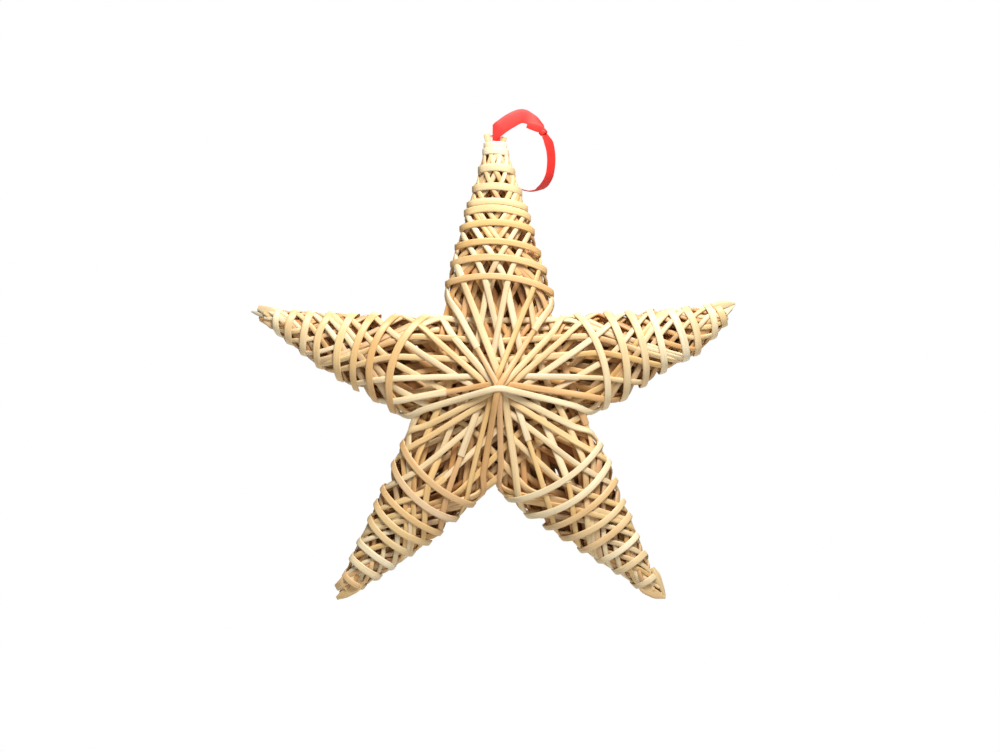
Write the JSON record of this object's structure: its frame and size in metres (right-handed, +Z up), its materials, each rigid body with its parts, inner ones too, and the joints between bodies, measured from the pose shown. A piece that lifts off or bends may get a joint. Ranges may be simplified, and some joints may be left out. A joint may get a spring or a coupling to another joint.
{
  "type": "straw star ornament",
  "caption": "Hanging star of woven wheat straw, with straws wound around each of its points and a knotted ribbon loop at the top.",
  "frame": {"origin": "the eye at the tip of the top point, where the ribbon goes through and the star hangs", "axes": "+Z up through the top point, -Y out of the front face, +X to the right seen from the front"},
  "size_m": [0.3078, 0.0509, 0.309],
  "materials": {
    "straw": "satin natural wheat straw",
    "winding_straw": "satin natural wheat straw, split flat",
    "ribbon": "red satin ribbon"
  },
  "bodies": {
    "root": {"straw_top_to_lower_right_front_1": "straw", "straw_top_to_lower_right_front_2": "straw", "straw_top_to_lower_right_front_3": "straw", "straw_top_to_lower_right_front_4": "straw", "straw_top_to_lower_right_front_5": "straw", "straw_top_to_lower_right_back_1": "straw", "straw_top_to_lower_right_back_2": "straw", "straw_top_to_lower_right_back_3": "straw", "straw_top_to_lower_right_back_4": "straw", "straw_top_to_lower_right_back_5": "straw", "straw_lower_right_to_left_front_1": "straw", "straw_lower_right_to_left_front_2": "straw", "straw_lower_right_to_left_front_3": "straw", "straw_lower_right_to_left_front_4": "straw", "straw_lower_right_to_left_front_5": "straw", "straw_lower_right_to_left_back_1": "straw", "straw_lower_right_to_left_back_2": "straw", "straw_lower_right_to_left_back_3": "straw", "straw_lower_right_to_left_back_4": "straw", "straw_lower_right_to_left_back_5": "straw", "straw_left_to_right_front_1": "straw", "straw_left_to_right_front_2": "straw", "straw_left_to_right_front_3": "straw", "straw_left_to_right_front_4": "straw", "straw_left_to_right_front_5": "straw", "straw_left_to_right_back_1": "straw", "straw_left_to_right_back_2": "straw", "straw_left_to_right_back_3": "straw", "straw_left_to_right_back_4": "straw", "straw_left_to_right_back_5": "straw", "straw_right_to_lower_left_front_1": "straw", "straw_right_to_lower_left_front_2": "straw", "straw_right_to_lower_left_front_3": "straw", "straw_right_to_lower_left_front_4": "straw", "straw_right_to_lower_left_front_5": "straw", "straw_right_to_lower_left_back_1": "straw", "straw_right_to_lower_left_back_2": "straw", "straw_right_to_lower_left_back_3": "straw", "straw_right_to_lower_left_back_4": "straw", "straw_right_to_lower_left_back_5": "straw", "straw_lower_left_to_top_front_1": "straw", "straw_lower_left_to_top_front_2": "straw", "straw_lower_left_to_top_front_3": "straw", "straw_lower_left_to_top_front_4": "straw", "straw_lower_left_to_top_front_5": "straw", "straw_lower_left_to_top_back_1": "straw", "straw_lower_left_to_top_back_2": "straw", "straw_lower_left_to_top_back_3": "straw", "straw_lower_left_to_top_back_4": "straw", "straw_lower_left_to_top_back_5": "straw", "winding_straw_top": "winding_straw", "winding_straw_right": "winding_straw", "winding_straw_lower_right": "winding_straw", "winding_straw_lower_left": "winding_straw", "winding_straw_left": "winding_straw", "ribbon_rise": "ribbon", "ribbon_fall": "ribbon", "ribbon_knot": "ribbon"}
  },
  "joints": []
}
